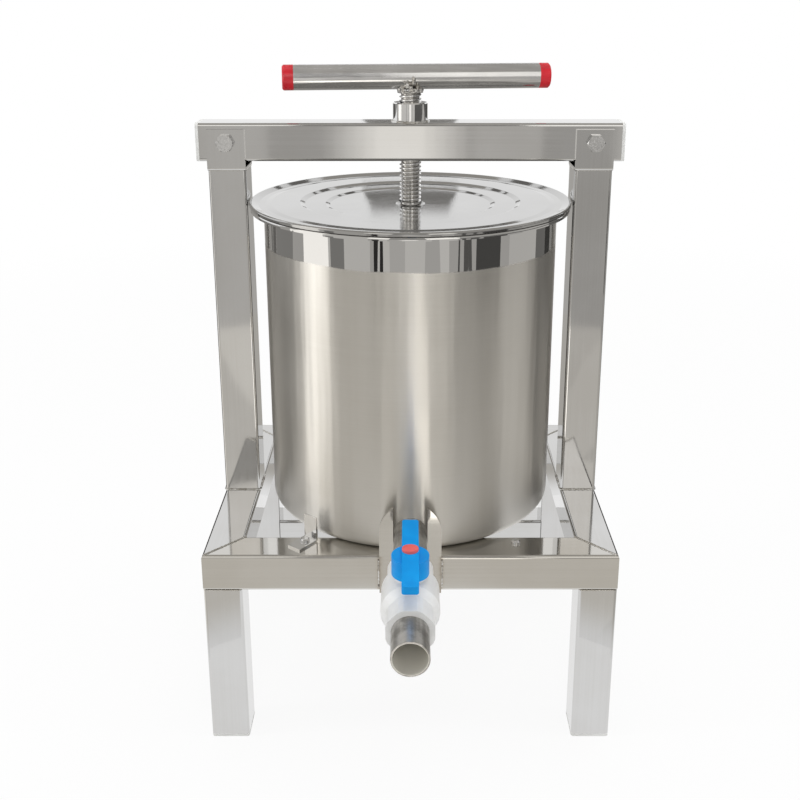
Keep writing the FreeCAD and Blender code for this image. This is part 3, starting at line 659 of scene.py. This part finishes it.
def pressScrew():
    crest = thread["crest"]
    root = crest - thread["depth"]
    lead = thread["lead"]
    journal = thread["journal"]
    segments = thread["segments"]
    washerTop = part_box("thrust_washer")[1].z
    shoulder = washerTop + thread["journalGap"]
    start = washerTop + thread["collar"]
    end = nutHigh.z + thread["aboveBoss"]
    profile = [
        (thread["grooveStart"], root), (thread["flankStart"], root),
        (thread["ridgeStart"], crest), (thread["ridgeEnd"], crest),
    ]
    plain = [(journal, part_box("press_screw")[0].z), (journal, shoulder), (crest, shoulder), (crest, start)]
    vertices = []
    for radius, height in plain:
        vertices += ringPoints(radius, height, segments)
    turns = math.ceil((end - start) / lead) + 1
    for turn in range(-1, turns):
        for share, radius in profile:
            for index in range(segments):
                angle = 2 * math.pi * index / segments
                climb = start + (turn + share + index / segments) * lead
                height = min(max(climb, start), end)
                vertices.append((radius * math.cos(angle), axisY + radius * math.sin(angle), height))
    total = len(plain) + (turns + 1) * len(profile)
    faces = []
    for row in range(total - 1):
        for column in range(segments):
            near, far = row, row + 1
            if column == segments - 1:
                # the last column meets the first one of the next turn
                near = min(row + len(profile), total - 1) if row >= len(plain) else row
                far = min(row + 1 + len(profile), total - 1) if row + 1 >= len(plain) else row + 1
            across = (column + 1) % segments
            faces.append((row * segments + column, near * segments + across,
                          far * segments + across, (row + 1) * segments + column))
    faces += endFaces(total, segments)
    screw = newPiece("pressScrew", vertices, faces, "screw", 30)
    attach(screw, "screw")
    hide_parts("press_screw")
    return screw


# weld beads

def weldPiece(piece, body):
    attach(piece, body)
    return piece


def squarePath(centre, side, corner, spacing=0.0014):
    # round the outside of a square tube, in a level plane
    half = side / 2
    path = []
    for quarter in range(4):
        turn = Matrix.Rotation(quarter * math.pi / 2, 3, "Z")
        start = Vector((half, -half + corner, 0))
        end = Vector((half, half - corner, 0))
        path += [centre + turn @ point for point in linePath(start, end, spacing)]
        bend = Vector((half - corner, half - corner, 0))
        for angle in (math.radians(22.5), math.radians(45), math.radians(67.5)):
            path.append(centre + turn @ (bend + Vector((math.cos(angle), math.sin(angle), 0)) * corner))
    return path


frameBeads = {  # radii of the beads, the tubes' corner radius, and how deep beads sink in
    "foot": 1.3 * mm, "fork": 0.55 * mm, "mitre": 1.2 * mm, "leg": 0.8 * mm, "corner": 3 * mm,
    "sink": 0.3 * mm, "mitreInset": 2 * mm, "legInset": 1.2 * mm, "cradle": 1.3 * mm,
}


def squareWeld(name, centre, side, radius, finish, **unevenness):
    path = squarePath(centre, side, frameBeads["corner"])
    weldPiece(sweep(name, path, radius, finish, closed=True, **unevenness), "frame")


def frameWelds():
    # the posts' feet, the forks, the mitres of the rails and the legs' tops
    beads = frameBeads
    side = postHigh.x - postLow.x
    mitreZ = deckZ - beads["sink"]
    ends = (("Front", railLow.y, side), ("Rear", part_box("rear_rail")[1].y, -side))
    for sign, name in ((-1, "Left"), (1, "Right")):
        x = abs(middleOf("left_post").x) * sign
        foot = Vector((x, axisY, deckZ))
        squareWeld("postFootWeld" + name, foot, side, beads["foot"], "weld",
                   ripple=0.12, lump=0.25, seed=3 + sign)
        top = Vector((x, axisY, postHigh.z))
        squareWeld("forkWeld" + name, top, side, beads["fork"], "tubeWeld",
                   ripple=0.08, lump=0.15, seed=8 + sign)
        for end, edge, inward in ends:
            diagonal = Vector((-sign, math.copysign(1, inward), 0))
            outer = Vector((x + side / 2 * sign, edge, mitreZ)) + diagonal * beads["mitreInset"]
            inner = Vector((x - side / 2 * sign, edge + inward, mitreZ))
            mitre = sweep("mitreWeld" + end + name, linePath(outer, inner), beads["mitre"], "tubeWeld",
                          ripple=0.1, lump=0.3, seed=60 + sign)
            weldPiece(mitre, "frame")
            leg = Vector((x, edge + inward / 2, railLow.z))
            squareWeld("legWeld" + end + name, leg, side - beads["legInset"], beads["leg"], "tubeWeld",
                       ripple=0.08, lump=0.2, seed=20 + sign)


screwBeads = {  # bead radii, the circles that they follow, and depths under the handle's axis
    "boss": 1.5 * mm, "bossGap": 0.4 * mm,
    "handle": 2.1 * mm, "handleReach": 11.2 * mm, "handleSink": 12.6 * mm, "handleGap": 0.3 * mm,
    "lower": 1.3 * mm, "lowerReach": 11.6 * mm, "lowerDrop": 14.6 * mm,
}


def screwWelds():
    beads = screwBeads
    centre = Vector((0, axisY, 0))
    boss = circlePath(centre + up * beamTop, (nutHigh.x - nutLow.x) / 2 + beads["bossGap"], 96)
    bossWeld = sweep("bossWeld", boss, beads["boss"], "weld", closed=True, ripple=0.15, lump=0.4, seed=31)
    weldPiece(bossWeld, "frame")
    # the bead where the screw's end is coped to the handle
    low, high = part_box("handle_tube")
    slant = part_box("right_handle_cap")[0].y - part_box("left_handle_cap")[0].y
    along = Vector((high.x - low.x, slant, 0)).normalized()
    across = up.cross(along)
    path = []
    for index in range(84):
        angle = 2 * math.pi * index / 84
        forward = math.cos(angle) * beads["handleReach"]
        outward = math.sin(angle) * beads["handleReach"]
        sink = math.sqrt(beads["handleSink"] ** 2 - outward ** 2)
        below = Vector((0, axisY, handleZ - sink - beads["handleGap"]))
        path.append(below + along * forward + across * outward)
    coped = sweep("handleWeld", path, beads["handle"], "weld", closed=True, ripple=0.12, lump=0.35, seed=40)
    weldPiece(coped, "screw")
    lower = circlePath(Vector((0, axisY, handleZ - beads["lowerDrop"])), beads["lowerReach"], 60)
    under = sweep("handleWeldLower", lower, beads["lower"], "weld",
                  closed=True, ripple=0.1, lump=0.4, seed=41)
    weldPiece(under, "screw")
    weldPiece(weldDrops("handleWeldDrops", along, across), "screw")


weldMetal = {
    # each drop: along the handle, out to the front, above its axis and size in millimetres, upward stretch
    "drops": [
        (-8.5, 9.0, -12.0, 2.3, 1.9), (-4.0, 11.8, -7.5, 2.2, 2.1), (2.2, 12.3, -4.5, 2.1, 2.3),
        (-0.5, 12.0, -11.5, 2.7, 1.5), (5.5, 11.2, -9.0, 2.4, 1.6), (9.0, 9.0, -13.0, 1.9, 1.3),
        (-6.8, 11.0, -2.5, 1.3, 2.6), (3.6, 12.4, -12.5, 1.7, 1.2),
    ],
    "rings": 13, "sides": 18, "roughness": 0.7,
}


def weldDrops(name, along, across):
    # lumps of weld metal on the front of the handle, over the screw's end
    rings = weldMetal["rings"]
    sides = weldMetal["sides"]
    vertices = []
    faces = []
    for number, (reach, out, rise, size, stretch) in enumerate(weldMetal["drops"]):
        centre = Vector((0, axisY, handleZ)) + (along * reach - across * out + up * rise) * mm
        shift = Vector((number * 3.1, 0, 0))
        first = len(vertices)
        for ring in range(rings):
            polar = math.pi * (ring + 0.02) / (rings - 0.96)
            for side in range(sides):
                angle = 2 * math.pi * side / sides
                flat = math.sin(polar)
                way = Vector((flat * math.cos(angle), flat * math.sin(angle), math.cos(polar)))
                lump = 1 + weldMetal["roughness"] * noise.noise(way * 1.4 + shift)
                way.z *= stretch
                vertices.append(centre + way * size * mm * lump)
        for face in gridFaces(rings, sides) + endFaces(rings, sides):
            faces.append(tuple(first + corner for corner in face))
    return newPiece(name, vertices, faces, "weld", 60)


def cradleWelds():
    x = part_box("outlet_cradle")[1].x + 0.5 * mm
    y = railLow.y - frameBeads["sink"]
    for sign, side in ((-1, "Left"), (1, "Right")):
        bead = linePath(Vector((x * sign, y, railLow.z + 5 * mm)), Vector((x * sign, y, railHigh.z - 4 * mm)))
        weld = sweep("cradleWeld" + side, bead, frameBeads["cradle"], "weld",
                     ripple=0.15, lump=0.4, seed=50 + sign)
        weldPiece(weld, "frame")


barrelShell()
lidShell()
pressScrew()
frameWelds()
screwWelds()
cradleWelds()
print("scene: barrel, lid, screw and welds made")


# floor, light and camera

studio = {
    "floorColour": (0.90, 0.90, 0.90, 1), "worldDiffuse": 0.60, "floorLift": 0.90, "floorClear": 1.6,
    # a ring of tall cards for the polished metal: azimuths from the front in degrees, wall grey, floor grey
    "sectors": [
        (-180, -150, 0.45, 0.45), (-150, -125, 0.06, 0.09), (-125, -97, 0.24, 0.27), (-97, -84, 0.42, 0.48),
        (-84, -61, 1.20, 1.10), (-61, -28, 0.56, 0.66), (-28, -21, 0.42, 0.66), (-21, -14, 0.58, 0.80),
        (-14, -5, 0.47, 0.60), (-5, 13, 0.58, 0.68), (13, 20, 0.44, 0.60), (20, 28, 0.60, 0.66),
        (28, 78, 0.42, 0.56), (78, 106, 0.52, 0.54), (106, 124, 0.16, 0.20), (124, 150, 0.06, 0.09),
        (150, 180, 0.45, 0.45),
    ],
    "ringRadius": 1.3, "ringHeight": 1.6, "backHeight": 0.55, "backFrom": 125,
    "floorFrom": 0.385, "floorFull": 0.475,
    # small cards inside the ring: azimuths, radius and height of the lower and of the upper edge, grey,
    # and the width of the upper edge as a share of the lower one
    "details": [
        (-57, -50, 1.27, 0.08, 1.27, 0.36, 0.22, 1), (-24.5, -20.5, 1.27, 0.10, 1.27, 0.36, 0.03, 1),
        (33, 35.5, 1.27, 0.10, 1.27, 0.36, 0.08, 1),
        (40.5, 43, 1.27, 0.10, 1.27, 0.36, 0.10, 1), (47, 66, 1.27, 0.12, 1.27, 0.34, 0.07, 1),
        (0, 14, 0.62, 0.004, 1.24, 0.004, 2.3, 1), (-34, 34, 0.385, 0.002, 0.60, 0.002, 0.70, 1),
        (-30, -12, 1.26, 0.79, 1.26, 1.60, 1.25, 1), (12, 30, 1.26, 0.60, 1.26, 1.60, 1.25, 1),
        (-12, 12, 1.26, 0.70, 1.26, 1.60, 0.30, 1),
        (28, 125, 1.27, 0.40, 1.27, 0.62, 0.10, 1), (175.0, 185.0, 1.27, 0.7385, 1.27, 0.790, 0.22, 0.77),
        (162, 198, 1.27, 1.15, 1.27, 1.20, 0.16, 1), (162, 198, 1.27, 1.28, 1.27, 1.44, 0.20, 1),
    ],
    # a bright card that fades at both ends: azimuths, lower and upper edge, grey, grey beside it, and
    # the degrees over which it fades
    "soft": (-8.5, 6.5, (1.27, 0.34), (1.27, 0.54), 1.17, 0.48, 6),
    "ceiling": (1.9, 1.7, 0.45),  # height, half width, grey
    "wallTint": (1.0, 0.972, 0.925, 1), "floorTint": (1.0, 0.962, 0.895, 1), "white": (1, 1, 1, 1),
    "floorHalf": 9.0,
}

lamps = {  # place, height aimed at on the barrel's axis, width, height, watts
    "leftStrip": ((-2.1, -0.35, 1.0), 0.35, 0.35, 1.6, 12),
    "rightStrip": ((2.1, -0.25, 1.0), 0.35, 0.35, 1.6, 7),
    "frontSoft": ((0.0, -2.3, 1.7), 0.35, 0.7, 0.7, 10),
    "topSoft": ((0.2, 0.3, 2.3), 0.3, 1.6, 1.2, 16),
}


def studioMaterial(name):
    material = bpy.data.materials.new(name)
    material.use_nodes = True
    material.node_tree.nodes.clear()
    return material, Shading(material.node_tree)


def flatPiece(name, corners, faces, material):
    mesh = bpy.data.meshes.new(name)
    mesh.from_pydata(corners, [], faces)
    mesh.materials.append(material)
    piece = bpy.data.objects.new(name, mesh)
    bpy.context.scene.collection.objects.link(piece)
    return piece


def makeFloor():
    # plain white far out, and near the object a floor that takes its shadow
    material, shading = studioMaterial("studioFloor")
    lift = studio["floorLift"]
    clear = studio["floorClear"]
    length = shading.add("ShaderNodeVectorMath", {"operation": "LENGTH"}, {0: shading.place()}, "Value")
    beyond = length - clear * 0.45
    far = shading.add("ShaderNodeMath", {"operation": "DIVIDE", "use_clamp": True}, {0: beyond, 1: clear})
    seen = shading.seenRays() * (lift + far * (1 - lift))
    matt = shading.add("ShaderNodeBsdfDiffuse", {}, {"Color": studio["floorColour"]})
    glow = shading.add("ShaderNodeEmission", {}, {"Color": studio["white"]})
    surface = shading.add("ShaderNodeMixShader", {}, {0: seen, 1: matt, 2: glow})
    shading.add("ShaderNodeOutputMaterial", {}, {"Surface": surface})
    half = studio["floorHalf"]
    corners = [(-half, -half, 0), (half, -half, 0), (half, half, 0), (-half, half, 0)]
    flatPiece("studioFloor", corners, [(0, 1, 2, 3)], material)


def glowMaterial(name, level, tint):
    material, shading = studioMaterial(name)
    glow = shading.add("ShaderNodeEmission", {}, {"Color": tint, "Strength": level})
    shading.add("ShaderNodeOutputMaterial", {}, {"Surface": glow})
    return material


def fadedMaterial(name, level, tint):
    # a floor sheet that starts as light as the floor round the object
    black = (0, 0, 0, 1)
    finish = Finish(name, Base_Color=black, Roughness=1.0, Specular_IOR_Level=0.0, Emission_Strength=level)
    share = finish.between(finish.fromAxis(finish.place()), studio["floorFrom"], studio["floorFull"])
    return finish.set(Emission_Color=finish.mix(share, grey(studio["floorLift"] / level), tint))


def around(azimuth, radius, height):
    angle = math.radians(azimuth)
    return (math.sin(angle) * radius, axisY - math.cos(angle) * radius, height)


def arcCard(name, first, last, low, high, level, taper=1):
    # a curved card between two azimuths, seen only in mirrors; low and high are (radius, height) of its edges
    count = max(1, math.ceil((last - first) / 4))
    middle = (first + last) / 2
    if low[0] == studio["floorFrom"]:
        material = fadedMaterial(name, level, studio["floorTint"])
    elif low[1] == high[1]:
        material = glowMaterial(name, level, studio["floorTint"])
    else:
        material = glowMaterial(name, level, studio["wallTint"])
    corners = []
    for index in range(count + 1):
        azimuth = first + (last - first) * index / count
        upper = middle + (azimuth - middle) * taper
        corners += [around(azimuth, *low), around(upper, *high)]
    faces = [(2 * i, 2 * i + 2, 2 * i + 3, 2 * i + 1) for i in range(count)]
    card = flatPiece(name, corners, faces, material)
    for rays in ("camera", "diffuse", "transmission", "shadow"):
        setattr(card, "visible_" + rays, False)


def softCard(name, first, last, low, high, level, beside, fade, steps=6):
    # a card whose level falls off at both ends, as narrower and brighter cards one before the other
    for step in range(steps):
        share = (step + 0.5) / steps
        inset = fade * step / steps
        forward = (step + 1) * 2 * mm
        nearLow = (low[0] - forward, low[1])
        nearHigh = (high[0] - forward, high[1])
        reached = beside + (level - beside) * share
        arcCard(name + str(step), first + inset, last - inset, nearLow, nearHigh, reached)


def makeCards():
    # the grey ring round the set
    radius = studio["ringRadius"]
    start = studio["floorFrom"]
    for index, (first, last, wall, ground) in enumerate(studio["sectors"]):
        front = max(abs(first), abs(last)) < studio["backFrom"]
        top = studio["ringHeight"] if front else studio["backHeight"]
        arcCard("studioWall" + str(index), first, last, (radius, 0), (radius, top), wall)
        arcCard("studioSheet" + str(index), first, last, (start, mm), (radius, mm), ground)
    for index, (first, last, nearRadius, low, farRadius, high, level, taper) in enumerate(studio["details"]):
        name = "studioDetail" + str(index)
        arcCard(name, first, last, (nearRadius, low), (farRadius, high), level, taper)
    softCard("studioSoft", *studio["soft"])
    height, half, level = studio["ceiling"]
    arcCard("studioCeiling", -180, 180, (half, height), (0.01, height), level)


def makeWorld():
    # white to look at, softer as light
    world = bpy.data.worlds.new("studioWorld")
    bpy.context.scene.world = world
    world.use_nodes = True
    world.node_tree.nodes.clear()
    shading = Shading(world.node_tree)
    strength = shading.seenRays() * (1 - studio["worldDiffuse"]) + studio["worldDiffuse"]
    sky = shading.add("ShaderNodeBackground", {}, {"Color": studio["white"], "Strength": strength})
    shading.add("ShaderNodeOutputWorld", {}, {"Surface": sky})


def makeLamps():
    for name, (position, aimZ, width, height, watts) in lamps.items():
        lamp = bpy.data.lights.new(name, "AREA")
        lamp.shape = "RECTANGLE"
        lamp.size = width
        lamp.size_y = height
        lamp.energy = watts
        holder = bpy.data.objects.new(name, lamp)
        holder.location = position
        aim = Vector((0, axisY, aimZ)) - Vector(position)
        holder.rotation_euler = aim.to_track_quat("-Z", "Y").to_euler()
        bpy.context.scene.collection.objects.link(holder)


lens = {
    "focal": 46.25, "sensor": 36.0, "pitch": 16.5, "distance": 1.045, "aboveDeck": 0.5213,
    "shiftX": -0.0129, "shiftY": -0.125,
}


def makeCamera():
    camera = bpy.data.cameras.new("photoCamera")
    camera.lens = lens["focal"]
    camera.sensor_width = lens["sensor"]
    camera.shift_x = lens["shiftX"]
    camera.shift_y = lens["shiftY"]
    holder = bpy.data.objects.new("photoCamera", camera)
    holder.location = (0, axisY - lens["distance"], deckZ + lens["aboveDeck"])
    holder.rotation_euler = (math.radians(90 - lens["pitch"]), 0, 0)
    bpy.context.scene.collection.objects.link(holder)
    bpy.context.scene.camera = holder


makeFloor()
makeCards()
makeWorld()
makeLamps()
makeCamera()
bpy.context.scene.view_settings.view_transform = "Standard"
print("scene: studio ready")
